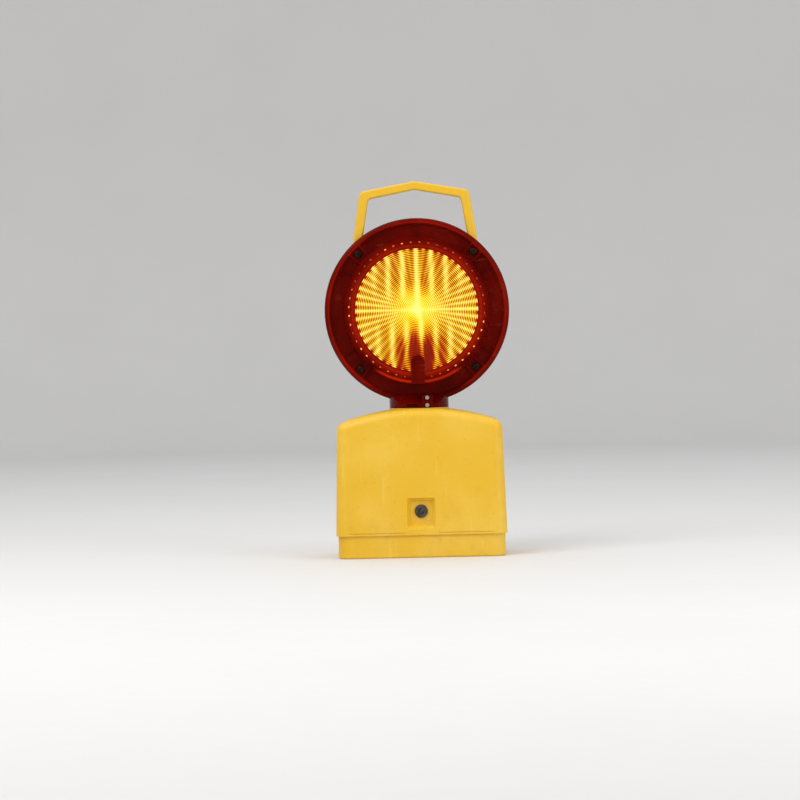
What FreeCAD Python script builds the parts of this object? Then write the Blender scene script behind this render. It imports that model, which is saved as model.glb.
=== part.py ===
"""A two-sided barricade warning light: a battery case with a lift-off cover, and a round lamp
head that turns on it. Millimetres, +Z up, front is -Y, origin on the floor under the middle."""

import FreeCAD, Part
import math
import os

Vec = FreeCAD.Vector
X, Y, Z = Vec(1, 0, 0), Vec(0, 1, 0), Vec(0, 0, 1)

# Base tray
TRAY_W, TRAY_D, TRAY_H = 165.0, 88.0, 22.5
FLOOR_T, TRAY_R, TRAY_EDGE_R = 4.0, 11.0, 1.8
UPSTAND_W, UPSTAND_D, UPSTAND_TOP, UPSTAND_T = 160.8, 83.8, 34.0, 2.5
SEAL_T, SEAL_W = 1.0, 2.4
INSERT_X, INSERT_R, INSERT_HOLE_R, INSERT_L = 72.5, 3.6, 2.5, 12.0

# Cover
COVER_W, COVER_D, COVER_WALL = 169.0, 92.0, 3.0
CROWN_Z, CROWN_R, DRAFT = 147.0, 236.0, math.radians(1.55)
CORNER_R, EDGE_R = 10.0, 9.0
CAVITY_HALF_W = 81.0
PAD_R = 30.0
GROOVE_Z, GROOVE_X0, GROOVE_X1, GROOVE_DEEP = 24.6, 16.0, 71.0, 0.6

# Lock, in a recess low on the cover's front
RECESS_HALF_W, RECESS_Z0, RECESS_Z1, RECESS_DEEP, RECESS_SLOPE = 14.0, 28.5, 59.0, 5.0, 3.6
LOCK_Z, LOCK_R, LOCK_FLANGE_R = 45.7, 5.0, 6.5
RUNNING_FIT = 0.06
CAM_R0, CAM_R1, CAM_W, CAM_T, CAM_FOOT_ANGLE = 16.4, 19.4, 5.0, 1.6, math.radians(38)
CATCH_Z, CATCH_T = 37.7, 3.3

# Batteries
CELL_W, CELL_H, CELL_Y, CELL_X = 66.0, 98.0, 4.0, 34.0
CELL_TOP_T, SPRING_H = 3.0, 7.9
BOARD_Z, BOARD_T, STRIP_T = 112.8, 1.6, 0.4
BOARD_W, BOARD_D = 136.0, 54.0
BOARD_POST = (64.5, 21.0)

# Lamp head: heights are measured forward from the plane where the two mouldings meet
HEAD_Z, RIM_R = 244.0, 92.0
SPLIT, FLANGE_H, RIM_H = 0.8, 7.0, 11.0
INNER_H = 4.4
BEAD_R, COLLAR_R, BEZEL_R, GAP_R, DISC_R = 86.0, 74.0, 68.0, 66.0, 61.0
BEZEL_H, GAP_H, DISC_H, DOME_H = 31.0, 28.6, 30.0, 41.0
SKIN = 2.6
BOSS_AT, BOSS_HALF_ANGLE, BOSS_R0, BOSS_H = 81.0, 5.0, 67.5, 10.9
POCKET_HALF_ANGLE, POCKET_R0 = 3.7, 73.5
SCREW_R, SCREW_HEAD_R, SCREW_SEAT_H = 2.1, 3.6, 8.1
FINGER_HALF_W, FINGER_Z0, FINGER_Z1, FINGER_H = 6.75, 171.0, 199.6, 38.0
NECK_R, NECK_Z, NECK_FRONT, NECK_PAD = 29.5, 147.3, 24.0, 1.4
NECK_HOOD_Z, NECK_TOP = 151.5, 161.0
NECK_SCREW_X, NECK_SCREW_HEIGHTS = 8.3, (149.6, 157.2)
SPIGOT_R, SPIGOT_Z, SPIGOT_BORE = 20.0, 137.0, 14.0
RING_R0, RING_R1, RING_Z0, RING_Z1 = 18.5, 25.0, 140.6, 143.6

# Handle
HANDLE_T = 2 * INNER_H
HANDLE_PEAK, HANDLE_BAR = 373.1, 8.7
HANDLE_CORNER = (54.7, 363.3)
HANDLE_KNEE = (62.1, 312.7)
HANDLE_EYE_R = 7.5
HANDLE_INNER_CORNER = (45.9, 355.9)
HANDLE_LEG_END = ((51.4, 303.0), (63.2, 304.0))

# Lamp, on the head's upright axis
POST_Z, POST_HALF_W = 164.0, 12.0
SOCKET_Z, SOCKET_R, SOCKET_BORE = 211.0, 5.8, 5.0
BULB_NECK_Z, BULB_NECK_R, BULB_Z, BULB_R, GLASS_T = 228.0, 4.3, 240.0, 7.6, 0.6

# Photocell, in the finger of the front lens
EYE_Z, EYE_R, EYE_Y = 191.0, 3.5, -33.6

LEAD_R, LEAD_PLAY, THIN_LEAD_R = 2.0, 0.1, 0.9
SWIVEL_SPLIT_Z = 150.0


def box(x0, x1, y0, y1, z0, z1):
    return Part.makeBox(x1 - x0, y1 - y0, z1 - z0, Vec(x0, y0, z0))


def rod(r, start, along, length):
    return Part.makeCylinder(r, length, start, along)


def rounded_box(w, d, z0, z1, r, mid=(0.0, 0.0)):
    body = box(mid[0] - w / 2, mid[0] + w / 2, mid[1] - d / 2, mid[1] + d / 2, z0, z1)
    return fillet_where(body, r, lambda e: is_line_along(e, Z))


def is_line_along(edge, axis):
    a, b = edge.Vertexes[0].Point, edge.Vertexes[-1].Point
    return (b - a).Length > 1e-6 and (b - a).cross(axis).Length < 1e-6


def fillet_where(shape, r, wanted):
    return shape.makeFillet(r, [e for e in shape.Edges if wanted(e)])


def fused(first, *others):
    return first.multiFuse(list(others)).removeSplitter()


def mirror_y(shape):
    return shape.mirror(Vec(0, 0, 0), Y)


def bent_wire(points, r):
    """A round wire: straight runs joined by tangent arcs, each as large as its runs allow."""
    edges = []
    radii = []
    at = points[0]
    for before, corner, after in zip(points, points[1:], points[2:]):
        back, ahead = before - corner, after - corner
        turn = math.pi - back.getAngle(ahead)
        reach = 0.45 * min(back.Length, ahead.Length)
        start = corner + Vec(back).normalize() * reach
        end = corner + Vec(ahead).normalize() * reach
        radius = reach / math.tan(turn / 2)
        middle_dir = (Vec(back).normalize() + Vec(ahead).normalize()).normalize()
        to_arc = math.hypot(radius, reach) - radius
        edges.append(Part.LineSegment(at, start).toShape())
        edges.append(Part.Arc(start, corner + middle_dir * to_arc, end).toShape())
        radii.append(radius)
        at = end
    edges.append(Part.LineSegment(at, points[-1]).toShape())
    path = Part.Wire(edges)
    section = Part.Wire([Part.makeCircle(r, points[0], points[1] - points[0])])
    return path.makePipeShell([section], True, True), path.Length, radii


def lead_along(points, r):
    tube, length, radii = bent_wire(points, r)
    print(f"lead length {length:.1f} mm, smallest radius {min(radii):.1f} mm, "
          f"volume ratio {tube.Volume / (length * math.pi * r * r):.4f}")
    return tube


# ---- Base ----

def base_tray():
    tray = rounded_box(TRAY_W, TRAY_D, 0, TRAY_H, TRAY_R)
    tray = fillet_where(tray, TRAY_EDGE_R, lambda e: abs(e.CenterOfMass.z) < 0.01)
    upstand = rounded_box(UPSTAND_W, UPSTAND_D, 0, UPSTAND_TOP, TRAY_R - 2)
    inner_w, inner_d = UPSTAND_W - 2 * UPSTAND_T, UPSTAND_D - 2 * UPSTAND_T
    hollow = rounded_box(inner_w, inner_d, FLOOR_T, UPSTAND_TOP + 1, TRAY_R - 4)
    tray = tray.fuse(upstand).cut(hollow)
    # the recess of the cover's lock passes through this notch
    tray = tray.cut(box(-20, 20, -TRAY_D / 2, -30, TRAY_H, UPSTAND_TOP + 1))
    for side in (-1, 1):
        boss = rod(5.4, Vec(side * INSERT_X, 0, 0), Z, INSERT_L + 3)
        insert_hole = rod(INSERT_R, Vec(side * INSERT_X, 0, -1), Z, INSERT_L + 1)
        tray = tray.fuse(boss).cut(insert_hole)
    rebate = seal_ring(TRAY_H - SEAL_T, TRAY_H + 0.001)
    return tray.cut(rebate).removeSplitter()


def seal_ring(z0, z1):
    outer = rounded_box(UPSTAND_W + SEAL_W, UPSTAND_D + SEAL_W, z0, z1, TRAY_R - 2 + SEAL_W / 2)
    return outer.cut(rounded_box(UPSTAND_W, UPSTAND_D, z0 - 1, z1 + 1, TRAY_R - 2))


def mount_inserts():
    inserts = []
    for side in (-1, 1):
        at = Vec(side * INSERT_X, 0, 0)
        insert = rod(INSERT_R, at, Z, INSERT_L)
        inserts.append(insert.cut(rod(INSERT_HOLE_R, at, Z, INSERT_L - 1.5)))
    return Part.makeCompound(inserts)


def lock_catch():
    """A post on the tray floor with a finger that the turned cam hooks under."""
    front, back = -33.2, -30.2
    foot = box(-13, -2, front, back, FLOOR_T, FLOOR_T + 8)
    post = box(-11, -4, front, back, FLOOR_T, CATCH_Z)
    hook = box(-11, -4, front - 4, back, CATCH_Z - CATCH_T, CATCH_Z)
    return fused(foot, post, hook)


def battery_jacket(side):
    mid = (side * CELL_X, CELL_Y)
    jacket = rounded_box(CELL_W, CELL_W, FLOOR_T, FLOOR_T + CELL_H, 4, mid)
    return fillet_where(jacket, 1.5, lambda e: abs(e.CenterOfMass.z - FLOOR_T) < 0.01)


def battery_top(side):
    mid = (side * CELL_X, CELL_Y)
    z0 = FLOOR_T + CELL_H
    plate = rounded_box(CELL_W - 2, CELL_W - 2, z0, z0 + CELL_TOP_T, 3, mid)
    for x, y in terminals(side):
        plate = plate.cut(rod(7.5, Vec(x, y, z0 + CELL_TOP_T - 0.8), Z, 2))
    return plate


def terminals(side):
    """One spring in the middle of the battery's top, and one at its outer back corner."""
    return [(side * CELL_X, CELL_Y), (side * (CELL_X + 19), CELL_Y + 19)]


def battery_springs(side):
    """Coils that narrow towards the top."""
    z0 = FLOOR_T + CELL_H + CELL_TOP_T - 0.8
    wire_r, turns, steps = 0.55, 3, 8
    height = SPRING_H - 2 * wire_r
    springs = []
    for x, y in terminals(side):
        points = []
        for i in range(turns * steps + 1):
            angle, share = 2 * math.pi * i / steps, i / (turns * steps)
            r = 6.2 - 2.2 * share
            points.append(Vec(x + r * math.cos(angle), y + r * math.sin(angle),
                              z0 + wire_r + height * share))
        springs.append(bent_wire(points, wire_r)[0])
    return Part.makeCompound(springs)


# ---- Cover ----

def crowned_block(half_w, half_d, z_low, crown_z, crown_r, corner_r, edge_r):
    """A block with leaning sides and an arched top, its upright and top edges rounded."""
    lean = math.tan(DRAFT) * (crown_z - z_low)
    corners = [Vec(-half_w, -half_d, z_low), Vec(half_w, -half_d, z_low),
               Vec(half_w - lean, -half_d, crown_z), Vec(lean - half_w, -half_d, crown_z)]
    face = Part.Face(Part.makePolygon(corners + corners[:1]))
    block = face.extrude(Vec(0, 2 * half_d, 0))
    arch = rod(crown_r, Vec(0, -half_d - 1, crown_z - crown_r), Y, 2 * half_d + 2)
    block = block.common(arch)
    block = fillet_where(
        block, corner_r, lambda e: is_line_along(e, Y) and e.CenterOfMass.z > z_low + 50)
    return fillet_where(
        block, edge_r,
        lambda e: abs(abs(e.CenterOfMass.y) - half_d) < 0.01 and e.BoundBox.ZMax > z_low + 1)


def case_cover():
    half_d = COVER_D / 2
    outer = crowned_block(COVER_W / 2, half_d, TRAY_H, CROWN_Z, CROWN_R, CORNER_R, EDGE_R)
    cavity = crowned_block(
        CAVITY_HALF_W, half_d - COVER_WALL, TRAY_H - 1, CROWN_Z - COVER_WALL,
        CROWN_R - COVER_WALL, CORNER_R - COVER_WALL, EDGE_R - COVER_WALL)
    cover = outer.cut(cavity)
    pad = rod(PAD_R, Vec(0, 0, CROWN_Z - COVER_WALL), Z, COVER_WALL)
    cover = cover.fuse(pad)
    for x in (-BOARD_POST[0], BOARD_POST[0]):
        for y in (-BOARD_POST[1], BOARD_POST[1]):
            post = rod(4, Vec(x, y, BOARD_Z + BOARD_T), Z, 28).common(outer)
            cover = cover.fuse(post)
            cover = cover.cut(rod(1.2, Vec(x, y, BOARD_Z + BOARD_T - 1), Z, 13))
    cover = lock_recess(cover, half_d)
    groove_y = GROOVE_DEEP - half_d
    for x0, x1 in ((-GROOVE_X1, -GROOVE_X0), (GROOVE_X0, GROOVE_X1)):
        cover = cover.cut(box(x0, x1, -half_d - 1, groove_y, GROOVE_Z - 0.5, GROOVE_Z + 0.5))
    cover = cover.cut(rod(SPIGOT_R + RUNNING_FIT, Vec(0, 0, CROWN_Z - 20), Z, 40))
    cover = cover.cut(rod(RING_R1 + 0.8, Vec(0, 0, CROWN_Z - 15), Z, 15 - COVER_WALL))
    seal_seat = rod(27, Vec(0, 0, CROWN_Z - 1.2), Z, 2).cut(rod(24, Vec(0, 0, CROWN_Z - 2), Z, 4))
    return cover.cut(seal_seat).removeSplitter()


def lock_recess(cover, half_d):
    back = RECESS_DEEP - half_d
    backing = box(-RECESS_HALF_W - 2.5, RECESS_HALF_W + 2.5, -half_d + 1, back + 3,
                  RECESS_Z0 - 2.5, RECESS_Z1 + 2.5)
    recess = Part.makeLoft([recess_outline(-half_d, 0), recess_outline(back, RECESS_SLOPE)], True)
    recess = fillet_where(recess, 2.0, lambda e: e.BoundBox.YLength > 1)
    bore = rod(LOCK_R + RUNNING_FIT, Vec(0, -half_d, LOCK_Z), Y, 12)
    return cover.fuse(backing).cut(recess).cut(bore)


def recess_outline(y, inset):
    """The recess narrows towards its back, where its outline is inset."""
    half_w = RECESS_HALF_W - inset
    z0, z1 = RECESS_Z0 + inset, RECESS_Z1 - inset
    corners = [Vec(-half_w, y, z0), Vec(half_w, y, z0), Vec(half_w, y, z1), Vec(-half_w, y, z1)]
    return Part.makePolygon(corners + corners[:1])


def swivel_seal():
    low = CROWN_Z - 1.2
    ring = rod(26.9, Vec(0, 0, low), Z, 1.2)
    return ring.cut(rod(24.1, Vec(0, 0, low - 1), Z, 4))


def circuit_board():
    board = rounded_box(BOARD_W, BOARD_D, BOARD_Z, BOARD_Z + BOARD_T, 3)
    for x in (-BOARD_POST[0], BOARD_POST[0]):
        for y in (-BOARD_POST[1], BOARD_POST[1]):
            board = board.cut(rod(1.7, Vec(x, y, BOARD_Z - 1), Z, 4))
    return board


def contact_strips():
    """Brass strips under the board, one over each battery spring."""
    strips = []
    for side in (-1, 1):
        for x, y in terminals(side):
            strips.append(rounded_box(15, 11, BOARD_Z - STRIP_T, BOARD_Z, 2, (x, min(y, 18))))
    return Part.makeCompound(strips)


def board_screws():
    screws = []
    for x in (-BOARD_POST[0], BOARD_POST[0]):
        for y in (-BOARD_POST[1], BOARD_POST[1]):
            head = rod(2.8, Vec(x, y, BOARD_Z - 1.6), Z, 1.6)
            shank = rod(1.2, Vec(x, y, BOARD_Z - 0.5), Z, 10)
            slot = box(x - 3, x + 3, y - 0.4, y + 0.4, BOARD_Z - 2, BOARD_Z - 1)
            screws.append(head.fuse(shank).cut(slot))
    return Part.makeCompound(screws)


def on_board(x, y):
    return Vec(x, y, BOARD_Z + BOARD_T)


def timer_chip():
    at = on_board(26, -8)
    body = box(at.x - 5, at.x + 5, at.y - 3.2, at.y + 3.2, at.z + 0.6, at.z + 4)
    notch = rod(1, Vec(at.x - 5, at.y, at.z + 3.4), Z, 1)
    body = body.cut(notch)
    legs = []
    for i in range(4):
        for row in (-1, 1):
            x = at.x - 3.9 + 2.54 * i
            y = at.y + row * 3.6
            legs.append(box(x - 0.3, x + 0.3, y - 0.4, y + 0.4, at.z, at.z + 2.4))
    return body.multiFuse(legs).removeSplitter()


def transistor():
    at = on_board(-28, 8)
    body = box(at.x - 5, at.x + 5, at.y - 2.2, at.y + 2.2, at.z + 2, at.z + 11)
    tab = box(at.x - 5, at.x + 5, at.y + 0.8, at.y + 2.2, at.z + 11, at.z + 17)
    tab = tab.cut(rod(1.6, Vec(at.x, at.y, at.z + 14.4), Y, 4))
    legs = [box(at.x + dx - 0.4, at.x + dx + 0.4, at.y - 0.3, at.y + 0.3, at.z, at.z + 2)
            for dx in (-2.5, 0, 2.5)]
    return fused(body, tab, *legs)


def capacitor():
    can = rod(5, on_board(-26, -10), Z, 14)
    return fillet_where(
        can, 0.8, lambda e: e.CenterOfMass.z > BOARD_Z + 10 and e.BoundBox.ZLength < 0.1)


def resistors():
    pieces = []
    for i in range(4):
        at = on_board(8 + 5 * i, 12)
        body = rod(1.2, at + Vec(0, -3, 1.6), Y, 6)
        feet = [rod(0.3, at + Vec(0, dy, 0), Z, 1.6) for dy in (-2.6, 2.6)]
        pieces.append(body.multiFuse(feet))
    return Part.makeCompound(pieces)


def lead_lower():
    low = BOARD_Z + BOARD_T
    return lead_along([Vec(14, 2, low), Vec(14, 2, low + 9), Vec(4, 0, low + 18),
                       Vec(0, 0, low + 27), Vec(0, 0, SWIVEL_SPLIT_Z)], LEAD_R)


# ---- Lock ----

def lock_barrel():
    front = RECESS_DEEP - COVER_D / 2
    barrel = rod(LOCK_R, Vec(0, front - 1.2, LOCK_Z), Y, 9.2)
    flange = rod(LOCK_FLANGE_R, Vec(0, front - 1.5, LOCK_Z), Y, 1.2)
    barrel = barrel.fuse(flange)
    # the key goes into a C-shaped slot round a centre pin
    slot = Part.makeCylinder(3.2, 4, Vec(0, front - 2, LOCK_Z), Y)
    slot = slot.cut(rod(1.5, Vec(0, front - 3, LOCK_Z), Y, 6))
    slot = slot.cut(box(0, 4, front - 3, front + 4, LOCK_Z, LOCK_Z + 4))
    return barrel.cut(slot).removeSplitter()


def lock_clip():
    back = RECESS_DEEP + 3 - COVER_D / 2
    clip = rod(7.6, Vec(0, back + 0.3, LOCK_Z), Y, 1.0)
    return clip.cut(rod(LOCK_R, Vec(0, back, LOCK_Z), Y, 3))


def lock_cam():
    """Arm with a curved foot, drawn in its locked place, then turned back to unlocked."""
    front = RECESS_DEEP + COVER_WALL + 1.4 - COVER_D / 2
    middle = Vec(0, front, LOCK_Z)
    before = middle - Y
    hub = rod(7, middle, Y, CAM_T)
    arm = box(-CAM_W / 2, CAM_W / 2, front, front + CAM_T, LOCK_Z - CAM_R1 + 0.2, LOCK_Z)
    ring = rod(CAM_R1, middle, Y, CAM_T).cut(rod(CAM_R0, before, Y, CAM_T + 2))
    reach = CAM_R1 * 1.2
    wedge = Part.Face(Part.makePolygon([
        middle, middle - Z * reach,
        middle - Vec(math.sin(CAM_FOOT_ANGLE), 0, math.cos(CAM_FOOT_ANGLE)) * reach,
        middle])).extrude(Y * CAM_T)
    cam = fused(hub, arm, ring.common(wedge))
    cam = cam.cut(rod(LOCK_R, before, Y, CAM_T + 2))
    cam.rotate(middle, Y, -90)
    return cam


# ---- Lamp head ----

def lens_profile():
    """Half section of one moulding, as radius and height from the meeting plane."""
    def at(r, h):
        return Vec(r, -h, HEAD_Z)

    def line(a, b):
        return Part.LineSegment(a, b).toShape()

    outer_sag = at(DISC_R / 2, dome_height(DISC_R / 2))
    inner_sag = at(DISC_R / 2, dome_height(DISC_R / 2) - SKIN)
    bead_mid = (RIM_R + BEAD_R) / 2
    edges = [
        line(at(0, DOME_H - SKIN), at(0, DOME_H)),
        Part.Arc(at(0, DOME_H), outer_sag, at(DISC_R, DISC_H)).toShape(),
        line(at(DISC_R, DISC_H), at(DISC_R, GAP_H)),
        line(at(DISC_R, GAP_H), at(GAP_R, GAP_H)),
        line(at(GAP_R, GAP_H), at(GAP_R, BEZEL_H)),
        line(at(GAP_R, BEZEL_H), at(BEZEL_R, BEZEL_H)),
        line(at(BEZEL_R, BEZEL_H), at(COLLAR_R, FLANGE_H)),
        line(at(COLLAR_R, FLANGE_H), at(BEAD_R, FLANGE_H)),
        line(at(BEAD_R, FLANGE_H), at(BEAD_R, RIM_H - 3)),
        Part.Arc(at(BEAD_R, RIM_H - 3), at(bead_mid, RIM_H), at(RIM_R, RIM_H - 3)).toShape(),
        line(at(RIM_R, RIM_H - 3), at(RIM_R, SPLIT)),
        line(at(RIM_R, SPLIT), at(RIM_R - SKIN, SPLIT)),
        line(at(RIM_R - SKIN, SPLIT), at(RIM_R - SKIN, INNER_H)),
        line(at(RIM_R - SKIN, INNER_H), at(COLLAR_R - SKIN, INNER_H)),
        line(at(COLLAR_R - SKIN, INNER_H), at(BEZEL_R - SKIN, GAP_H - SKIN)),
        line(at(BEZEL_R - SKIN, GAP_H - SKIN), at(DISC_R, GAP_H - SKIN)),
        line(at(DISC_R, GAP_H - SKIN), at(DISC_R, DISC_H - SKIN)),
        Part.Arc(at(DISC_R, DISC_H - SKIN), inner_sag, at(0, DOME_H - SKIN)).toShape(),
    ]
    return Part.Face(Part.Wire(edges))


def dome_height(r):
    """Height of the disc's front at radius r: part of a sphere."""
    rise = DOME_H - DISC_H
    sphere = (DISC_R ** 2 + rise ** 2) / (2 * rise)
    return DOME_H - sphere + math.sqrt(sphere ** 2 - r ** 2)


def boss_places():
    return [(BOSS_AT * math.cos(math.radians(a)), HEAD_Z + BOSS_AT * math.sin(math.radians(a)), a)
            for a in (45, 135, 225, 315)]


def radial_wedge(angle, half_angle, r0, r1, h0, h1):
    """A sector of a ring about the head's axis, between two radii and two heights."""
    a0, a1 = math.radians(angle - half_angle), math.radians(angle + half_angle)
    corners = [Vec(0, -h0, HEAD_Z)]
    for a in (a0, a1):
        corners.append(Vec(1.2 * r1 * math.cos(a), -h0, HEAD_Z + 1.2 * r1 * math.sin(a)))
    wedge = Part.Face(Part.makePolygon(corners + corners[:1])).extrude(Vec(0, h0 - h1, 0))
    ring = rod(r1, Vec(0, -h0, HEAD_Z), -Y, h1 - h0)
    ring = ring.cut(rod(r0, Vec(0, 1 - h0, HEAD_Z), -Y, h1 - h0 + 2))
    return wedge.common(ring)


def lens_moulding(handle, front):
    """One lens with its flange, rim, bosses, ribs and half of the neck, made facing -Y."""
    shell = lens_profile().revolve(Vec(0, 0, HEAD_Z), Y, 360)
    solid = shell if shell.ShapeType == "Solid" else Part.Solid(shell)
    extra = []
    for x, z, a in boss_places():
        extra.append(radial_wedge(a, BOSS_HALF_ANGLE, BOSS_R0, BEAD_R + 2.5, INNER_H, BOSS_H))
        if a > 180:
            extra.append(rod(6, Vec(x, -SPLIT, z), -Y, INNER_H))
    for a in (30, 90, 150, 210, 330):
        extra.append(radial_wedge(a, 0.45, COLLAR_R - 1.5, BEAD_R + 1, INNER_H + 1, FLANGE_H + 2.4))
    extra += neck_half()
    if front:
        extra.append(finger(FINGER_HALF_W, FINGER_Z0, FINGER_Z1, 16, FINGER_H))
    solid = solid.multiFuse(extra)
    if front:
        wall = 1.8
        pocket = finger(FINGER_HALF_W - wall, FINGER_Z0 + 4, FINGER_Z1 - wall, 15, FINGER_H - wall)
        solid = solid.cut(pocket)
    for x, z, a in boss_places():
        solid = solid.cut(rod(SCREW_R + 0.2, Vec(x, 1, z), -Y, BOSS_H + 2))
        pocket = radial_wedge(a, POCKET_HALF_ANGLE, POCKET_R0, BEAD_R, SCREW_SEAT_H, 2 * BOSS_H)
        solid = solid.cut(pocket)
    solid = cut_neck(solid)
    half_w = POST_HALF_W + 0.4
    foot_slot = box(-half_w, half_w, -INNER_H, 0, POST_Z - 0.4, POST_Z + 12)
    solid = solid.cut(foot_slot).cut(handle)
    return solid.removeSplitter()


def neck_half():
    """Round foot that turns on the cover, a hood rising to the rim, and the spigot below."""
    hood = Part.Face(Part.makePolygon([
        Vec(-NECK_R, -SPLIT, NECK_Z), Vec(-NECK_R, -NECK_FRONT, NECK_Z),
        Vec(-NECK_R, -NECK_FRONT, NECK_HOOD_Z), Vec(-NECK_R, 1 - RIM_H, NECK_TOP),
        Vec(-NECK_R, -SPLIT, NECK_TOP), Vec(-NECK_R, -SPLIT, NECK_Z)])).extrude(X * 2 * NECK_R)
    hood = hood.common(rod(NECK_R, Vec(0, 0, NECK_Z), Z, 20))
    spigot = rod(SPIGOT_R, Vec(0, 0, SPIGOT_Z), Z, NECK_Z - SPIGOT_Z)
    spigot = spigot.common(box(-40, 40, -40, -0.02, SPIGOT_Z, NECK_Z))
    pad = box(3, 14, -NECK_FRONT - NECK_PAD, 2 - RIM_H, NECK_Z + 0.4, NECK_TOP - 1.4)
    ribs = []
    for i in range(3):
        z = NECK_Z + 1.4 + 2.4 * i
        ring = rod(NECK_R + 0.7, Vec(0, 0, z), Z, 1.1).cut(rod(NECK_R - 1, Vec(0, 0, z - 1), Z, 4))
        ribs.append(ring.common(box(17.5, 40, -40, -9, z, z + 2)))
    return [hood, spigot, pad] + ribs


def cut_neck(solid):
    solid = solid.cut(rod(SPIGOT_BORE, Vec(0, 0, SPIGOT_Z - 1), Z, 14))
    solid = solid.cut(rod(4.2, Vec(0, 0, SPIGOT_Z), Z, 40))
    groove = rod(RING_R1, Vec(0, 0, RING_Z0), Z, RING_Z1 - RING_Z0)
    groove = groove.cut(rod(RING_R0, Vec(0, 0, RING_Z0 - 1), Z, 6))
    solid = solid.cut(groove)
    for z in NECK_SCREW_HEIGHTS:
        solid = solid.cut(rod(1.1, Vec(NECK_SCREW_X, -NECK_FRONT - 3, z), Y, 9))
    return solid.cut(box(-12, -1, -NECK_FRONT - 1, -NECK_FRONT + 3, NECK_Z - 1, NECK_Z + 3.6))


def finger(half_w, z0, z1, h0, h1):
    """Upright pocket with a round top that holds the photocell."""
    shaft = box(-half_w, half_w, -h1, -h0, z0, z1 - half_w)
    top = rod(half_w, Vec(0, -h0, z1 - half_w), -Y, h1 - h0)
    return fillet_where(
        shaft.fuse(top).removeSplitter(), 1.2,
        lambda e: abs(e.CenterOfMass.y + h1) < 0.01 and e.BoundBox.ZMax > z0 + 0.1)


def rear_lens(handle):
    return mirror_y(lens_moulding(handle, False))


def lens_gasket(handle):
    ring = rod(RIM_R - 0.3, Vec(0, -SPLIT, HEAD_Z), Y, 2 * SPLIT)
    ring = ring.cut(rod(RIM_R - SKIN, Vec(0, -2, HEAD_Z), Y, 4))
    neck_gap = box(-NECK_R, NECK_R, -2, 2, NECK_Z - 7, NECK_TOP)
    ring = ring.cut(neck_gap)
    cheeks = box(-NECK_R + 0.6, NECK_R - 0.6, -SPLIT, SPLIT, NECK_Z, NECK_TOP)
    cheeks = cheeks.cut(box(-SPIGOT_BORE, SPIGOT_BORE, -2, 2, NECK_Z - 7, NECK_TOP + 4))
    cheeks = cheeks.cut(rod(RIM_R - SKIN, Vec(0, -2, HEAD_Z), Y, 4))
    return ring.fuse(cheeks).cut(handle).removeSplitter()


def lens_screws():
    screws = []
    for x, z, _ in boss_places():
        head = rod(SCREW_HEAD_R, Vec(x, -SCREW_SEAT_H, z), -Y, 2.6)
        head = fillet_where(head, 1, lambda e: abs(e.CenterOfMass.y + SCREW_SEAT_H + 2.6) < 0.01)
        shank = rod(SCREW_R, Vec(x, -SCREW_SEAT_H - 1, z), Y, 2 * SCREW_SEAT_H + 5)
        slots = [box(x - a, x + a, -SCREW_SEAT_H - 3, -SCREW_SEAT_H - 1.3, z - b, z + b)
                 for a, b in ((2.2, 0.5), (0.5, 2.2))]
        screws.append(head.fuse(shank).cut(slots[0]).cut(slots[1]))
    return Part.makeCompound(screws)


def lens_nuts():
    nuts = []
    for x, z, _ in boss_places():
        corners = [Vec(x + 4 * math.cos(math.radians(60 * i)), SCREW_SEAT_H,
                       z + 4 * math.sin(math.radians(60 * i))) for i in range(7)]
        nut = Part.Face(Part.makePolygon(corners)).extrude(Vec(0, 3, 0))
        nuts.append(nut.cut(rod(SCREW_R, Vec(x, SCREW_SEAT_H - 1, z), Y, 6)))
    return Part.makeCompound(nuts)


def handle():
    """Flat bar bent to a shallow peak, with two legs that end in eyes on the upper screws."""
    knee_x, knee_z = HANDLE_KNEE
    inner = [HANDLE_INNER_CORNER, (knee_x - HANDLE_BAR - 0.2, knee_z), HANDLE_LEG_END[0]]
    outer = [(0, HANDLE_PEAK), HANDLE_CORNER, HANDLE_KNEE, HANDLE_LEG_END[1]]
    right = outer + inner[::-1]
    left = [(-x, z) for x, z in right[1:]][::-1]
    points = [Vec(x, -HANDLE_T / 2, z) for x, z in right + [(0, HANDLE_PEAK - HANDLE_BAR)] + left]
    bar = Part.Face(Part.makePolygon(points + points[:1])).extrude(Vec(0, HANDLE_T, 0))
    bar = fillet_where(bar, 6, lambda e: is_line_along(e, Y) and near(e, HANDLE_CORNER))
    bar = fillet_where(bar, 4, lambda e: is_line_along(e, Y) and near(e, inner[0]))
    bar = fillet_where(bar, 12, lambda e: is_line_along(e, Y) and near(e, outer[0]))
    bar = fillet_where(
        bar, 2, lambda e: abs(abs(e.CenterOfMass.y) - HANDLE_T / 2) < 0.01
        and e.BoundBox.ZMax > knee_z + 0.3)
    for x, z, a in boss_places():
        if a < 180:
            eye = rod(HANDLE_EYE_R, Vec(x, -HANDLE_T / 2, z), Y, HANDLE_T)
            bar = bar.fuse(eye)
            bar = bar.cut(rod(SCREW_R + 0.2, Vec(x, -10, z), Y, 20))
    return bar.removeSplitter()


def near(edge, place):
    at = edge.CenterOfMass
    return math.hypot(abs(at.x) - place[0], at.z - place[1]) < 1.5


def swivel_ring():
    ring = rod(RING_R1, Vec(0, 0, RING_Z0), Z, RING_Z1 - RING_Z0)
    return ring.cut(rod(RING_R0, Vec(0, 0, RING_Z0 - 1), Z, 6))


def neck_screws():
    """Two in the pad of each moulding."""
    screws = []
    face = -NECK_FRONT - NECK_PAD
    for z in NECK_SCREW_HEIGHTS:
        head = rod(1.9, Vec(NECK_SCREW_X, face, z), -Y, 1.0)
        shank = rod(1.1, Vec(NECK_SCREW_X, face - 0.5, z), Y, 7)
        screw = head.fuse(shank)
        screws += [screw, mirror_y(screw)]
    return Part.makeCompound(screws)


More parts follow.
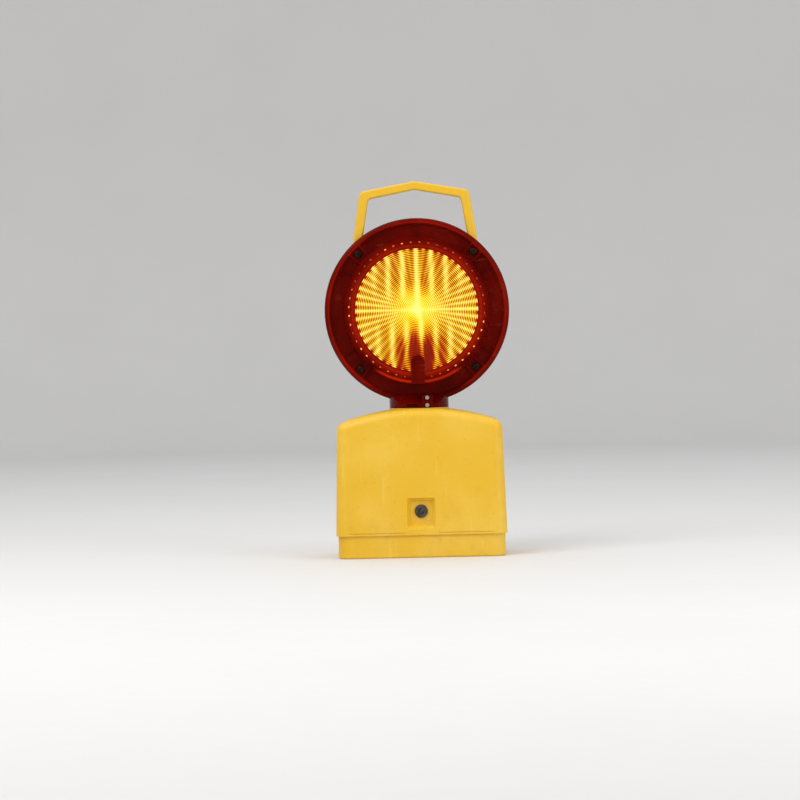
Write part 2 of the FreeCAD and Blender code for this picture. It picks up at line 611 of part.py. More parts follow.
def lamp_post():
    """Foot held between the two mouldings, and a strip that carries the bulb socket."""
    half_t = INNER_H - 0.2
    foot = box(-POST_HALF_W, POST_HALF_W, -half_t, half_t, POST_Z, POST_Z + 8)
    strip = box(-5, 5, 2.4, half_t, POST_Z, SOCKET_Z + 7)
    collar = rod(SOCKET_R + 1.6, Vec(0, 0, SOCKET_Z - 2), Z, 9)
    bored = rod(SOCKET_R, Vec(0, 0, SOCKET_Z), Z, 9)
    lead_hole = rod(LEAD_R + LEAD_PLAY, Vec(0, 0, POST_Z - 4), Z, SOCKET_Z - POST_Z + 10)
    return fused(foot, strip, collar).cut(bored).cut(lead_hole)


def bulb_socket():
    shell = rod(SOCKET_R, Vec(0, 0, SOCKET_Z), Z, 12)
    flare = rod(SOCKET_R + 0.8, Vec(0, 0, SOCKET_Z + 10.5), Z, 1.5)
    bore = rod(SOCKET_BORE, Vec(0, 0, SOCKET_Z + 2), Z, 20)
    return shell.fuse(flare).cut(bore).removeSplitter()


def socket_contact():
    return rod(2.2, Vec(0, 0, SOCKET_Z + 2), Z, 1.0)


def bulb_base():
    """Screw cap with a rolled thread, and the solder tip under it."""
    low = SOCKET_Z + 4.2
    cap = rod(4.55, Vec(0, 0, low), Z, BULB_NECK_Z - low)
    for i in range(5):
        cap = cap.fuse(Part.makeTorus(4.5, 0.45, Vec(0, 0, low + 1.4 + 1.8 * i), Z))
    tip = rod(2.0, Vec(0, 0, low - 1.2), Z, 1.3)
    return cap.fuse(tip).removeSplitter()


def bulb_glass():
    """Pear-shaped glass envelope, hollow."""
    middle = Vec(0, 0, BULB_Z)
    outside = Part.makeSphere(BULB_R, middle)
    outside = outside.fuse(rod(BULB_NECK_R, Vec(0, 0, BULB_NECK_Z), Z, 10))
    inside = Part.makeSphere(BULB_R - GLASS_T, middle)
    inside = inside.fuse(rod(BULB_NECK_R - GLASS_T, Vec(0, 0, BULB_NECK_Z + 1), Z, 9))
    return outside.cut(inside).removeSplitter()


def bulb_filament():
    """Glass bead stem, two support wires and the filament between them."""
    half_gap, low = 2.4, BULB_Z - 8
    stem = rod(1.6, Vec(0, 0, BULB_NECK_Z + 1), Z, 4)
    wires = [rod(0.3, Vec(x, 0, low), Z, 9) for x in (-half_gap, half_gap)]
    bridge = box(-half_gap - 0.3, half_gap + 0.3, -0.4, 0.4, low, low + 1)
    filament = rod(0.35, Vec(-half_gap, 0, BULB_Z + 0.7), X, 2 * half_gap)
    return fused(stem, bridge, filament, *wires)


def photocell_holder():
    back = finger(4.6, FINGER_Z0 + 9, FINGER_Z1 - 2.2, FINGER_H - 12, FINGER_H - 6)
    return back.cut(rod(EYE_R, Vec(0, EYE_Y - 0.4, EYE_Z), Y, 5))


def photocell():
    disc = rod(EYE_R, Vec(0, EYE_Y, EYE_Z), Y, 4)
    track = rod(2.6, Vec(0, EYE_Y - 0.3, EYE_Z), Y, 1)
    return disc.fuse(track)


def photocell_lead():
    return lead_along([Vec(0, -26, 184), Vec(0, -21, 184), Vec(0, -14, 179),
                       Vec(0, -7.5, 175.5), Vec(0, -2.9, 175.5)], THIN_LEAD_R)


def lead_upper():
    return rod(LEAD_R, Vec(0, 0, SWIVEL_SPLIT_Z), Z, SOCKET_Z - SWIVEL_SPLIT_Z)


def main():
    os.makedirs("parts", exist_ok=True)
    bar = handle()
    nodes = {
        "base_tray": base_tray(),
        "base_seal": seal_ring(TRAY_H - SEAL_T, TRAY_H),
        "mount_inserts": mount_inserts(),
        "lock_catch": lock_catch(),
        "battery_jacket_left": battery_jacket(-1),
        "battery_jacket_right": battery_jacket(1),
        "battery_top_left": battery_top(-1),
        "battery_top_right": battery_top(1),
        "battery_springs_left": battery_springs(-1),
        "battery_springs_right": battery_springs(1),
        "case_cover": case_cover(),
        "swivel_seal": swivel_seal(),
        "circuit_board": circuit_board(),
        "contact_strips": contact_strips(),
        "board_screws": board_screws(),
        "timer_chip": timer_chip(),
        "transistor": transistor(),
        "capacitor": capacitor(),
        "resistors": resistors(),
        "lead_lower": lead_lower(),
        "lock_barrel": lock_barrel(),
        "lock_clip": lock_clip(),
        "lock_cam": lock_cam(),
        "front_lens": lens_moulding(bar, True),
        "rear_lens": rear_lens(bar),
        "lens_gasket": lens_gasket(bar),
        "lens_screws": lens_screws(),
        "lens_nuts": lens_nuts(),
        "handle": bar,
        "swivel_ring": swivel_ring(),
        "neck_screws": neck_screws(),
        "lamp_post": lamp_post(),
        "bulb_socket": bulb_socket(),
        "socket_contact": socket_contact(),
        "bulb_base": bulb_base(),
        "bulb_glass": bulb_glass(),
        "bulb_filament": bulb_filament(),
        "photocell_holder": photocell_holder(),
        "photocell": photocell(),
        "photocell_lead": photocell_lead(),
        "lead_upper": lead_upper(),
    }
    for name, shape in nodes.items():
        shape.exportStep(f"parts/{name}.step")
        extent = shape.BoundBox
        print(f"{name}: {len(shape.Solids)} solid(s), valid {shape.isValid()}, "
              f"{shape.Volume:.0f} mm3, Z {extent.ZMin:.1f} to {extent.ZMax:.1f}")


main()
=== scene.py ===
import math

import bmesh
import bpy
from mathutils import Matrix, Vector


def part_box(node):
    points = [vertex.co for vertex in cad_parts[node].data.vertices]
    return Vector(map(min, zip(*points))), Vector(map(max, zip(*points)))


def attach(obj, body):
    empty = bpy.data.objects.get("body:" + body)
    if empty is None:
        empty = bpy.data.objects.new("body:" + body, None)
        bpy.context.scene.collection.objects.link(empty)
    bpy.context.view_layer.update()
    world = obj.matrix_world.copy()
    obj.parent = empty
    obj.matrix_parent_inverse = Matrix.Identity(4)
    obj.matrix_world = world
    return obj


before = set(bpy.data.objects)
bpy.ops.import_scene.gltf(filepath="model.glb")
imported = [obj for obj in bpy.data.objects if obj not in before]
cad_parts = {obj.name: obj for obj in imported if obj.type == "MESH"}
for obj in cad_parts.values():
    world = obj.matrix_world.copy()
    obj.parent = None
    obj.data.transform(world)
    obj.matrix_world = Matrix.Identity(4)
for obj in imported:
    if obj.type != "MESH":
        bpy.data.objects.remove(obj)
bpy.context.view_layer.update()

MM = 0.001

# ---- Places read from the front lens in model.glb, in metres ----

lens_low, lens_high = (Vector(c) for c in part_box("front_lens"))
RIM_R = (lens_high.x - lens_low.x) / 2
HEAD_Z = lens_high.z - RIM_R
DOME_Y = -lens_low.y

# ---- Measures of the lens moulding ----

DISC_R = 61 * MM             # the lit fresnel disc
DISC_EDGE_H = 30 * MM        # from the meeting plane of the two mouldings to the disc's edge
RELIEF_LIMIT_H = 43.5 * MM   # no ring stands further out than this
RING_PITCH = 1.72 * MM
FLUTES = 48
STREAK_PITCH = 14.3 * MM     # between two upright columns of light
STREAK_START = 1.0 * MM      # from the middle to the nearest column, high up on the disc
GAP_MID_R = 63.5 * MM        # the gap between disc and bezel, where light leaks out
BEZEL_R = 67.0 * MM
BEZEL_H = 31.0 * MM
ARC_R = 71.3 * MM            # the lit arcs below the bezel
RIM_LINE_R = 88 * MM
FINGER_HALF_W = 6.75 * MM    # the photocell's finger, in the front moulding only
FINGER_TOP = -44 * MM


# ---- Node helpers ----

class Nodes:
    """A material's node tree, with short calls for the nodes that the materials share."""

    def __init__(self, name):
        self.material = bpy.data.materials.new(name)
        self.material.use_nodes = True
        self.tree = self.material.node_tree
        self.shader = self.tree.nodes["Principled BSDF"]
        self.coords = self.tree.nodes.new("ShaderNodeTexCoord").outputs["Object"]

    def new(self, kind, **values):
        node = self.tree.nodes.new(kind)
        for key, value in values.items():
            setattr(node, key, value)
        return node

    def link(self, source, target):
        self.tree.links.new(source, target)

    def feed(self, value, socket):
        if isinstance(value, bpy.types.NodeSocket):
            self.link(value, socket)
        else:
            socket.default_value = value

    def math(self, operation, a, b=0.0, c=0.0):
        node = self.new("ShaderNodeMath", operation=operation)
        for value, socket in zip((a, b, c), node.inputs):
            self.feed(value, socket)
        return node.outputs[0]

    def times(self, a, b):
        return self.math("MULTIPLY", a, b)

    def plus(self, a, b):
        return self.math("ADD", a, b)

    def minus(self, a, b):
        return self.math("SUBTRACT", a, b)

    def ramp(self, value, low, high, to_low=0.0, to_high=1.0, smooth=True):
        node = self.new("ShaderNodeMapRange")
        node.interpolation_type = "SMOOTHSTEP" if smooth else "LINEAR"
        for v, name in ((value, "Value"), (low, "From Min"), (high, "From Max"),
                        (to_low, "To Min"), (to_high, "To Max")):
            self.feed(v, node.inputs[name])
        return node.outputs["Result"]

    def noise(self, scale, detail=4.0, rough=0.55, vector=None):
        node = self.new("ShaderNodeTexNoise")
        self.link(vector or self.coords, node.inputs["Vector"])
        node.inputs["Scale"].default_value = scale
        node.inputs["Detail"].default_value = detail
        node.inputs["Roughness"].default_value = rough
        return node.outputs["Fac"]

    def mix(self, factor, a, b):
        node = self.new("ShaderNodeMix", data_type="RGBA")
        self.feed(factor, node.inputs["Factor"])
        self.feed(a, node.inputs["A"])
        self.feed(b, node.inputs["B"])
        return node.outputs["Result"]

    def gradient(self, factor, stops):
        """Colours at positions from 0 to 1."""
        node = self.new("ShaderNodeValToRGB")
        self.link(factor, node.inputs["Fac"])
        elements = node.color_ramp.elements
        for position, _ in stops[1:-1]:
            elements.new(position)
        for element, (position, rgb) in zip(elements, stops):
            element.position = position
            element.color = colour(*rgb)
        return node.outputs["Color"]

    def stretched(self, scale):
        node = self.new("ShaderNodeMapping")
        self.link(self.coords, node.inputs["Vector"])
        node.inputs["Scale"].default_value = scale
        return node.outputs["Vector"]

    def bump(self, height, strength, distance):
        node = self.new("ShaderNodeBump")
        self.link(height, node.inputs["Height"])
        node.inputs["Strength"].default_value = strength
        node.inputs["Distance"].default_value = distance
        self.link(node.outputs["Normal"], self.shader.inputs["Normal"])

    def put(self, name, value):
        self.feed(value, self.shader.inputs[name])

    def place(self):
        split = self.new("ShaderNodeSeparateXYZ")
        self.link(self.coords, split.inputs[0])
        return split.outputs


def colour(r, g, b):
    """sRGB bytes to the linear colour that a shader takes."""
    def linear(v):
        v /= 255
        return v / 12.92 if v <= 0.04045 else ((v + 0.055) / 1.055) ** 2.4
    return (linear(r), linear(g), linear(b), 1.0)


# ---- Materials ----

def moulded_plastic(name, main, scuffed, roughness=0.42, grime=0.25, gloss=0.4):
    """Moulded plastic with a fine texture, rubbed patches, scratches and dust low down."""
    n = Nodes(name)
    patches = n.ramp(n.noise(18), 0.35, 0.72)
    scratches = n.ramp(n.noise(150, 3, 0.6, n.stretched((1, 1, 0.08))), 0.62, 0.70)
    specks = n.ramp(n.noise(420, 2), 0.66, 0.74)
    dirt = n.ramp(n.noise(46, 6, 0.7), 0.52, 0.78)
    height = n.ramp(n.place()["Z"], 0.0, 0.09, 1.0, 0.25)
    dirt = n.times(dirt, n.times(height, grime))
    base = n.mix(n.times(patches, 0.35), main, scuffed)
    base = n.mix(n.times(scratches, 0.30), base, scuffed)
    base = n.mix(n.times(specks, 0.20), base, colour(70, 55, 35))
    base = n.mix(dirt, base, colour(96, 80, 58))
    n.put("Base Color", base)
    rough = n.plus(n.ramp(patches, 0, 1, roughness - 0.07, roughness + 0.10, False),
                   n.times(scratches, 0.15))
    n.put("Roughness", rough)
    n.put("Specular IOR Level", gloss)
    grain = n.plus(n.noise(1500, 2), n.times(scratches, -0.8))
    n.bump(grain, 0.22, 0.00012)
    return n.material


def metal(name, main, roughness, grain_scale=(1, 1, 12), tarnish=None):
    """Plated or drawn metal: fine lines, cloudy tarnish and uneven gloss."""
    n = Nodes(name)
    lines = n.noise(900, 3, 0.6, n.stretched(grain_scale))
    cloud = n.ramp(n.noise(220, 5), 0.4, 0.75)
    n.put("Base Color", n.mix(n.times(cloud, 0.6), main, tarnish or colour(95, 88, 78)))
    n.put("Metallic", 1.0)
    drawn = n.ramp(lines, 0.3, 0.7, roughness - 0.06, roughness + 0.08)
    n.put("Roughness", n.plus(drawn, n.times(cloud, 0.18)))
    n.bump(lines, 0.15, 0.00006)
    return n.material


def rubber(name, main):
    """Matte rubber with a pale bloom."""
    n = Nodes(name)
    bloom = n.ramp(n.noise(160, 5), 0.45, 0.75)
    n.put("Base Color", n.mix(n.times(bloom, 0.35), main, colour(92, 90, 86)))
    n.put("Roughness", n.ramp(bloom, 0, 1, 0.62, 0.85, False))
    n.bump(n.noise(1800, 3), 0.25, 0.00010)
    return n.material


def painted_jacket(name):
    """Printed steel jacket of a lantern battery: plain bands, without any lettering."""
    n = Nodes(name)
    band_z = 74.5 * MM
    band = n.ramp(n.place()["Z"], band_z, band_z + 0.5 * MM)
    base = n.mix(band, colour(28, 84, 62), colour(208, 178, 60))
    rub = n.ramp(n.noise(60, 6), 0.60, 0.72)
    n.put("Base Color", n.mix(n.times(rub, 0.5), base, colour(150, 150, 146)))
    n.put("Roughness", n.ramp(rub, 0, 1, 0.28, 0.5, False))
    n.bump(n.noise(700, 2), 0.10, 0.00008)
    return n.material


def board_material(name):
    """Green circuit board with tracks under the lacquer."""
    n = Nodes(name)
    tracks = n.new("ShaderNodeTexVoronoi", feature="DISTANCE_TO_EDGE", distance="CHEBYCHEV")
    n.link(n.coords, tracks.inputs["Vector"])
    tracks.inputs["Scale"].default_value = 150
    line = n.ramp(tracks.outputs["Distance"], 0.06, 0.09, 1.0, 0.0)
    lacquer, track = colour(16, 74, 40), colour(58, 128, 72)
    n.put("Base Color", n.mix(n.times(line, 0.7), lacquer, track))
    n.put("Roughness", n.ramp(n.noise(260), 0.3, 0.7, 0.28, 0.42))
    n.bump(line, 0.3, 0.00008)
    return n.material


def bulb_glass_material(name):
    """Clear glass, a little smeared."""
    n = Nodes(name)
    smear = n.noise(240, 4)
    n.put("Base Color", (1.0, 0.93, 0.80, 1.0))
    n.put("Roughness", n.ramp(smear, 0.3, 0.7, 0.02, 0.12))
    n.put("Transmission Weight", 1.0)
    n.put("IOR", 1.5)
    n.bump(smear, 0.05, 0.0001)
    return n.material


def glowing_metal(name):
    """The filament: its top glows and its two legs are dull."""
    n = Nodes(name)
    heat = n.ramp(n.place()["Z"], HEAD_Z - 8 * MM, HEAD_Z - 4 * MM)
    n.put("Base Color", n.mix(heat, colour(150, 150, 150), colour(255, 220, 150)))
    n.put("Metallic", 1.0)
    n.put("Roughness", n.ramp(n.noise(900), 0.3, 0.7, 0.3, 0.5))
    n.put("Emission Color", (1.0, 0.62, 0.22, 1.0))
    n.put("Emission Strength", n.times(heat, 12.0))
    return n.material


def head_polar(n):
    """(x, z, radius, angle) about the head's axis, in metres and radians; z is from the axis."""
    place = n.place()
    x = place["X"]
    z = n.minus(place["Z"], HEAD_Z)
    r = n.math("SQRT", n.plus(n.times(x, x), n.times(z, z)))
    return x, z, r, n.math("ARCTAN2", z, x)


def gaussian(n, value, width):
    """1 where value is 0, falling off over width to either side."""
    scaled = n.math("DIVIDE", value, width)
    return n.math("EXPONENT", n.times(n.times(scaled, scaled), -1.0))


def fresnel_glow(name):
    """The lit fresnel disc: a hot middle, rays and upright columns of light, both broken into
    dots by the rings, and a painted shadow low down, dark red, where the finger and lamp post
    shade it."""
    n = Nodes(name)
    x, z, r, angle = head_polar(n)
    out = n.math("DIVIDE", r, DISC_R)
    aside = n.math("ABSOLUTE", x)
    patchy = n.noise(60, 3)
    ring = n.math("COSINE", n.times(r, 2 * math.pi / RING_PITCH))
    flute = n.math("COSINE", n.times(angle, FLUTES))
    # the columns sit a little further to the right in the lower half
    column_x = n.minus(x, n.ramp(z, 8 * MM, -16 * MM, STREAK_START, 4 * STREAK_START))
    column = n.math("COSINE", n.times(column_x, 2 * math.pi / STREAK_PITCH))
    column = n.math("POWER", n.ramp(column, -1, 1, 0, 1, False), 2.2)
    ray = n.math("POWER", n.ramp(flute, -1, 1, 0, 1, False), 1.4)

    upright = n.times(n.ramp(n.math("ABSOLUTE", z), 4 * MM, 30 * MM),
                      n.ramp(aside, 26 * MM, 52 * MM, 1.0, 0.12))
    columns = n.times(upright, n.minus(column, 0.54))
    sideways = n.times(n.ramp(out, 0.1, 0.8), n.ramp(upright, 0, 1, 1.0, 0.45))
    rays = n.times(sideways, n.math("MULTIPLY_ADD", ray, 0.84, -0.44))
    rings = n.times(ring, n.ramp(out, 0.05, 0.7, 0.26, 0.64))
    rim_teeth = n.times(n.ramp(flute, -1, 1, -0.9, 0.2, False), n.ramp(out, 0.94, 1.0))
    hot = n.times(gaussian(n, r, 5 * MM), 0.55)
    across = n.times(gaussian(n, z, 1.8 * MM), 0.26)
    core = n.times(gaussian(n, column_x, 2.4 * MM), gaussian(n, z, 34 * MM))
    # the painted shadow is weak on the rear disc, which has no finger
    low = n.times(gaussian(n, n.minus(x, 3 * MM), 19 * MM), n.ramp(z, -15 * MM, FINGER_TOP))
    low = n.times(low, n.ramp(n.place()["Y"], 0.0, MM, 1.0, 0.3))
    level = n.ramp(out, 0.05, 1.0, 1.0, 0.80)
    for part in (columns, rays, rings, rim_teeth, hot, across, n.times(core, 0.35),
                 n.times(low, -1.25), n.times(n.minus(patchy, 0.5), 0.6)):
        level = n.plus(level, part)
    level = n.math("MAXIMUM", level, 0.0)

    light = n.gradient(n.times(level, 0.72), (
        (0.0, (120, 10, 0)), (0.16, (192, 36, 0)), (0.31, (228, 82, 0)), (0.46, (244, 158, 0)),
        (0.62, (253, 224, 0)), (0.84, (255, 248, 52)), (1.0, (255, 253, 140))))
    n.put("Base Color", n.mix(n.ramp(ring, -1, 1), colour(60, 10, 1), colour(84, 26, 2)))
    n.put("Roughness", n.ramp(patchy, 0.3, 0.7, 0.24, 0.34))
    n.put("Specular IOR Level", 0.08)
    n.put("Emission Color", light)
    n.put("Emission Strength", 1.0)
    n.bump(ring, 0.15, 0.0002)
    return n.material


def amber_moulding(name):
    """Deep amber-red moulded plastic, glowing where the lamp's light leaks into it."""
    n = Nodes(name)
    x, z, r, _ = head_polar(n)
    y = n.place()["Y"]
    depth = n.math("ABSOLUTE", y)
    flow = n.noise(26, 4)
    scratches = n.ramp(n.noise(170, 3, 0.6, n.stretched((0.12, 1, 1))), 0.64, 0.70)
    dust = n.ramp(n.noise(75, 6, 0.7), 0.55, 0.78)
    base = n.mix(n.ramp(flow, 0.3, 0.7), colour(78, 4, 1), colour(100, 7, 2))
    base = n.mix(n.times(dust, 0.08), base, colour(150, 84, 62))
    base = n.mix(n.times(scratches, 0.14), base, colour(190, 70, 50))
    n.put("Base Color", base)
    worn = n.plus(dust, scratches)
    n.put("Roughness", n.plus(n.ramp(flow, 0.3, 0.7, 0.16, 0.26), n.times(worn, 0.18)))
    n.put("Specular IOR Level", 0.16)
    n.put("Specular Tint", colour(214, 120, 92))
    n.put("Coat Weight", 0.03)
    n.put("Coat Roughness", 0.12)
    # light leaks out round the disc and along the rim, and none of it reaches the neck
    near_disc = n.ramp(r, 62 * MM, 76 * MM, 1.0, 0.05)
    gap = gaussian(n, n.minus(r, GAP_MID_R), 2.6 * MM)
    bead = n.times(gaussian(n, n.minus(r, RIM_LINE_R), 1.8 * MM), 0.35)
    low = n.ramp(z, -55 * MM, -62 * MM)
    arcs = n.times(gaussian(n, n.minus(r, ARC_R), 1.7 * MM), low)
    forward = n.ramp(depth, 3 * MM, 12 * MM, 0.35, 1.0)
    glow = n.times(near_disc, 0.16)
    for part in (n.times(gap, 0.34), bead, n.times(arcs, 0.75)):
        glow = n.plus(glow, part)
    glow = n.times(n.times(glow, forward), n.ramp(flow, 0.2, 0.8, 0.75, 1.15))
    glow = n.times(glow, n.ramp(z, -80 * MM, -70 * MM))
    # the finger stays dark: it is in front of the disc, and the rear moulding has none
    aside = n.math("ABSOLUTE", x)
    beside_pocket = n.ramp(aside, FINGER_HALF_W - 0.4 * MM, FINGER_HALF_W + 0.6 * MM)
    above_pocket = n.ramp(z, FINGER_TOP - MM, FINGER_TOP + MM)
    rear = n.ramp(y, 0.0, MM)
    clear_of_pocket = n.math("MAXIMUM", rear, n.math("MAXIMUM", beside_pocket, above_pocket))
    glow = n.times(glow, clear_of_pocket)
    n.put("Emission Color", n.gradient(n.times(glow, 0.45), (
        (0.0, (150, 16, 4)), (0.45, (236, 52, 8)), (1.0, (255, 170, 60)))))
    n.put("Emission Strength", n.times(glow, 0.8))
    n.bump(n.plus(n.noise(900, 2), n.times(scratches, -1.0)), 0.08, 0.0001)
    return n.material


def dark_window(name):
    """The photocell's cap: the same amber, darker, over the black holder."""
    n = Nodes(name)
    smear = n.noise(140, 4)
    n.put("Base Color", n.mix(n.ramp(smear, 0.3, 0.7), colour(82, 8, 4), colour(112, 16, 7)))
    n.put("Roughness", n.ramp(smear, 0.3, 0.7, 0.14, 0.3))
    n.put("Coat Weight", 0.4)
    n.bump(n.noise(700, 2), 0.08, 0.0001)
    return n.material


# ---- New pieces: the relief and the beads, which the CAD model leaves out ----

def smooth_mesh(name, mesh):
    """Turn a finished bmesh into mesh data with smooth shading."""
    data = bpy.data.meshes.new(name)
    mesh.to_mesh(data)
    mesh.free()
    for polygon in data.polygons:
        polygon.use_smooth = True
    return data


def add_piece(name, mesh, material, body):
    piece = bpy.data.objects.new(name, mesh)
    bpy.context.scene.collection.objects.link(piece)
    piece.data.materials.append(material)
    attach(piece, body)
    return piece


def dome_height(r):
    """How far the plain disc stands from the meeting plane, at radius r."""
    rise = DOME_Y - DISC_EDGE_H
    sphere = (DISC_R ** 2 + rise ** 2) / (2 * rise)
    return DOME_Y - sphere + math.sqrt(sphere ** 2 - r ** 2)


def relief(r, angle):
    """Fresnel rings, each rising slowly outward and dropping steeply, crossed by radial flutes."""
    ring_depth, flute_depth, slope_share = 0.42 * MM, 0.38 * MM, 0.75
    share = (r / RING_PITCH) % 1.0
    ring = share / slope_share if share < slope_share else (1 - share) / (1 - slope_share)
    flute = 0.5 + 0.5 * math.cos(FLUTES * angle)
    fade = min(1.0, max(0.0, (r - 5 * MM) / (18 * MM)))
    edge = min(1.0, (DISC_R - r) / (1.2 * MM))
    return edge * (ring_depth * ring + flute_depth * flute * fade)


def fresnel_disc(name, side, material):
    """Polar grid over the moulding's plain dome, as a thin closed plate. side is -1 or 1."""
    rings, steps = 140, FLUTES * 7
    lift = 0.02 * MM
    edge_r = DISC_R - 0.3 * MM
    back_y = side * (dome_height(edge_r) - 1.2 * MM)
    mesh = bmesh.new()
    rows = []
    for i in range(1, rings + 1):
        r = edge_r * i / rings
        row = []
        for k in range(steps):
            angle = 2 * math.pi * k / steps
            height = min(dome_height(r) + lift + relief(r, angle), RELIEF_LIMIT_H)
            at = (r * math.cos(angle), side * height, HEAD_Z + r * math.sin(angle))
            row.append(mesh.verts.new(at))
        rows.append(row)
    middle = mesh.verts.new((0, side * (dome_height(0) + lift), HEAD_Z))
    skirt = [mesh.verts.new((v.co.x, back_y, v.co.z)) for v in rows[-1]]
    back = mesh.verts.new((0, back_y, HEAD_Z))
    for k in range(steps):
        j = (k + 1) % steps
        mesh.faces.new((middle, rows[0][k], rows[0][j]))
        mesh.faces.new((back, skirt[j], skirt[k]))
        for a, b in zip(rows + [skirt], (rows + [skirt])[1:]):
            mesh.faces.new((a[k], b[k], b[j], a[j]))
    bmesh.ops.recalc_face_normals(mesh, faces=mesh.faces)
    return add_piece(name, smooth_mesh(name, mesh), material, "head")


def collar_beads(name, side, material):
    """Prism beads round the bezel, one at each flute, which catch the lamp's light."""
    half_sizes = Matrix.Diagonal((0.7 * MM, 0.6 * MM, 1.1 * MM, 1))
    mesh = bmesh.new()
    for k in range(FLUTES):
        angle = 2 * math.pi * (k + 0.5) / FLUTES
        x, z = BEZEL_R * math.cos(angle), BEZEL_R * math.sin(angle)
        at = Matrix.Translation((x, side * BEZEL_H, HEAD_Z + z))
        shape = at @ Matrix.Rotation(-angle, 4, "Y") @ half_sizes
        bmesh.ops.create_icosphere(mesh, subdivisions=2, radius=1.0, matrix=shape)
    return add_piece(name, smooth_mesh(name, mesh), material, "head")


def bead_material(name):
    """The bezel's beads, lit in patches and dimmer by the neck."""
    n = Nodes(name)
    _, z, _, _ = head_polar(n)
    patch = n.noise(30, 2)
    lit = n.ramp(patch, 0.42, 0.66, 0.05, 1.0)
    lit = n.times(lit, n.ramp(z, -64 * MM, -50 * MM, 0.25, 1.0))
    n.put("Base Color", n.mix(lit, colour(150, 24, 6), colour(240, 120, 20)))
    n.put("Roughness", n.ramp(patch, 0.3, 0.7, 0.12, 0.25))
    n.put("Emission Color", n.mix(lit, colour(200, 40, 6), colour(255, 190, 60)))
    n.put("Emission Strength", n.times(lit, 1.1))
    return n.material


# ---- Put the materials on the CAD nodes ----

yellow = moulded_plastic("case_yellow_plastic", colour(226, 178, 36), colour(238, 204, 92), 0.42)
handle_yellow = moulded_plastic("handle_yellow_plastic", colour(226, 178, 36),
                                colour(206, 166, 62), 0.38, 0.15)
amber = amber_moulding("amber_moulding_plastic")
black = moulded_plastic("black_plastic", colour(22, 22, 23), colour(58, 56, 54), 0.5, 0.1)
zinc = metal("zinc_plated_steel", colour(190, 192, 194), 0.30)
# painted shade: the lens screws and nuts are coloured dark red-brown for the shade and red light
# in the flange pockets that hold them
shaded_pocket_steel = metal("steel_painted_pocket_shade", colour(58, 38, 32), 0.4, tarnish=colour(30, 20, 18))
steel = metal("spring_steel", colour(150, 152, 156), 0.28)
lock_steel = metal("lock_steel", colour(96, 90, 82), 0.36, (12, 1, 1), colour(40, 34, 28))
brass = metal("contact_brass", colour(205, 165, 84), 0.25, (1, 12, 1), colour(120, 84, 44))
seal = rubber("seal_rubber", colour(26, 25, 24))
lead = rubber("lead_jacket", colour(20, 20, 21))
white = moulded_plastic("nylon", colour(214, 208, 190), colour(232, 228, 216), 0.45, 0.1)

finishes = {
    yellow: ["base_tray", "case_cover"],
    handle_yellow: ["handle"],
    amber: ["front_lens", "rear_lens"],
    black: ["battery_top_left", "battery_top_right", "timer_chip", "transistor",
            "photocell_holder"],
    zinc: ["lock_catch", "board_screws", "lock_clip", "lock_cam", "neck_screws"],
    shaded_pocket_steel: ["lens_screws", "lens_nuts"],
    steel: ["battery_springs_left", "battery_springs_right"],
    lock_steel: ["lock_barrel"],
    brass: ["mount_inserts", "contact_strips", "bulb_socket", "socket_contact", "bulb_base"],
    seal: ["base_seal", "swivel_seal", "lens_gasket"],
    lead: ["lead_lower", "lead_upper", "photocell_lead"],
    white: ["swivel_ring", "lamp_post"],
    painted_jacket("battery_jacket_print"): ["battery_jacket_left", "battery_jacket_right"],
    board_material("board_lacquer"): ["circuit_board"],
    moulded_plastic("can_sleeve", colour(24, 44, 104), colour(60, 84, 140), 0.3, 0.1):
        ["capacitor"],
    moulded_plastic("resistor_body", colour(196, 160, 108), colour(214, 188, 146), 0.35, 0.1):
        ["resistors"],
    bulb_glass_material("bulb_glass_clear"): ["bulb_glass"],
    glowing_metal("filament_glow"): ["bulb_filament"],
    dark_window("photocell_window"): ["photocell"],
}
for material, nodes in finishes.items():
    for node in nodes:
        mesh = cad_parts[node].data
        mesh.materials.clear()
        mesh.materials.append(material)

glow = fresnel_glow("fresnel_lit")
beads = bead_material("bezel_bead_lit")
fresnel_disc("front_fresnel", -1, glow)
fresnel_disc("rear_fresnel", 1, glow)
collar_beads("front_bezel_beads", -1, beads)
collar_beads("rear_bezel_beads", 1, beads)


# ---- Floor, light and camera ----

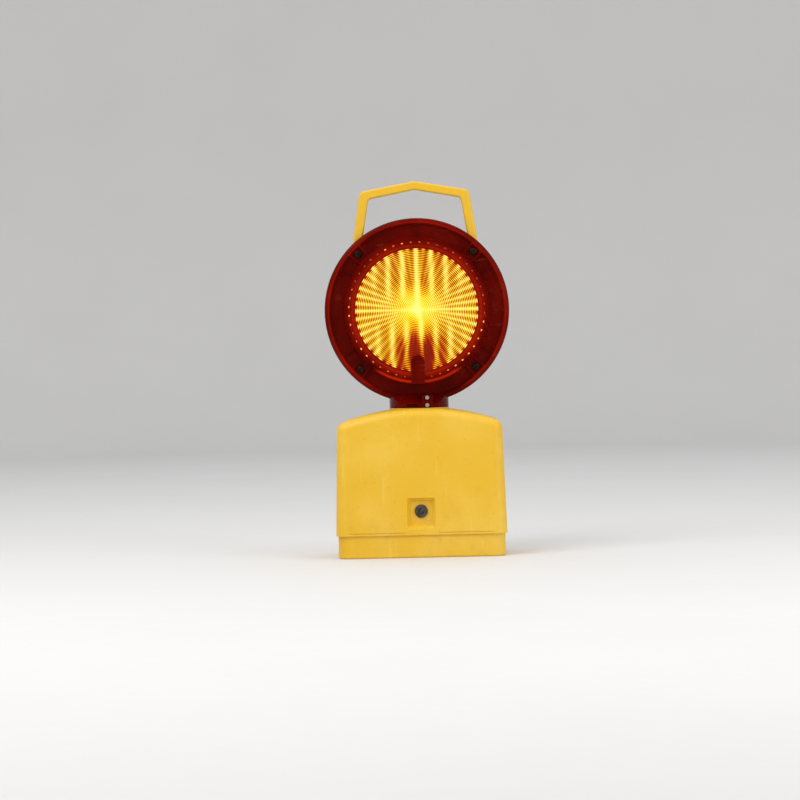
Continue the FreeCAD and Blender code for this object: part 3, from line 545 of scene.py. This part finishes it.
def floor():
    """A round sheet of paper turned up all round its edge, so that every side has a backdrop."""
    flat, bend, wall, steps, bend_steps = 3.2, 0.8, 1.0, 96, 12
    profile = [(flat, 0.0)]
    for i in range(1, bend_steps + 1):
        angle = math.pi / 2 * i / bend_steps
        profile.append((flat + bend * math.sin(angle), bend - bend * math.cos(angle)))
    profile.append((flat + bend, bend + wall))
    mesh = bmesh.new()
    rings = []
    for radius, height in profile:
        turns = [2 * math.pi * k / steps for k in range(steps)]
        rings.append([mesh.verts.new((radius * math.cos(t), radius * math.sin(t), height))
                      for t in turns])
    mesh.faces.new(rings[0])
    for low, high in zip(rings, rings[1:]):
        for k in range(steps):
            after = (k + 1) % steps
            mesh.faces.new((low[k], high[k], high[after], low[after]))
    piece = bpy.data.objects.new("floor", smooth_mesh("floor", mesh))
    bpy.context.scene.collection.objects.link(piece)
    n = Nodes("floor_paper")
    n.put("Base Color", n.mix(n.noise(4), (0.70, 0.69, 0.67, 1), (0.74, 0.73, 0.71, 1)))
    n.put("Roughness", n.ramp(n.noise(40), 0.3, 0.7, 0.65, 0.75))
    piece.data.materials.append(n.material)


def area_light(name, place, target, size, watts):
    data = bpy.data.lights.new(name, "AREA")
    data.shape = "RECTANGLE"
    data.size, data.size_y = size
    data.energy = watts
    light = bpy.data.objects.new(name, data)
    light.location = place
    aim = Vector(target) - Vector(place)
    light.rotation_euler = aim.to_track_quat("-Z", "Y").to_euler()
    bpy.context.scene.collection.objects.link(light)


def camera():
    """At the photograph's angle: level, almost square to the front, and a little rolled."""
    distance, elevation, azimuth, roll = 2.6, 0.8, 0.8, 1.35
    target = Vector((-19 * MM, 0, 155 * MM))
    e, a = math.radians(elevation), math.radians(azimuth)
    away = Vector((math.sin(a) * math.cos(e), -math.cos(a) * math.cos(e), math.sin(e)))
    data = bpy.data.cameras.new("camera")
    data.lens = 117.0
    data.sensor_width = 36.0
    data.dof.use_dof = False
    view = bpy.data.objects.new("camera", data)
    view.location = target + away * distance
    turn = (-away).to_track_quat("-Z", "Y").to_matrix().to_4x4()
    view.rotation_euler = (turn @ Matrix.Rotation(math.radians(-roll), 4, "Z")).to_euler()
    bpy.context.scene.collection.objects.link(view)
    bpy.context.scene.camera = view


floor()
area_light("key", (-0.9, -1.1, 1.5), (0, 0, 0.2), (1.2, 1.0), 18)
area_light("fill", (1.2, -1.0, 0.7), (0, 0, 0.2), (1.2, 1.2), 9)
area_light("top", (0.0, 0.3, 3.2), (0, 0, 0.1), (4.5, 4.5), 62)
world = bpy.data.worlds.new("studio")
world.use_nodes = True
backdrop = world.node_tree.nodes["Background"].inputs
backdrop["Color"].default_value = (0.92, 0.94, 1.0, 1)
backdrop["Strength"].default_value = 0.5
bpy.context.scene.world = world
camera()
bpy.context.scene.view_settings.view_transform = "Standard"
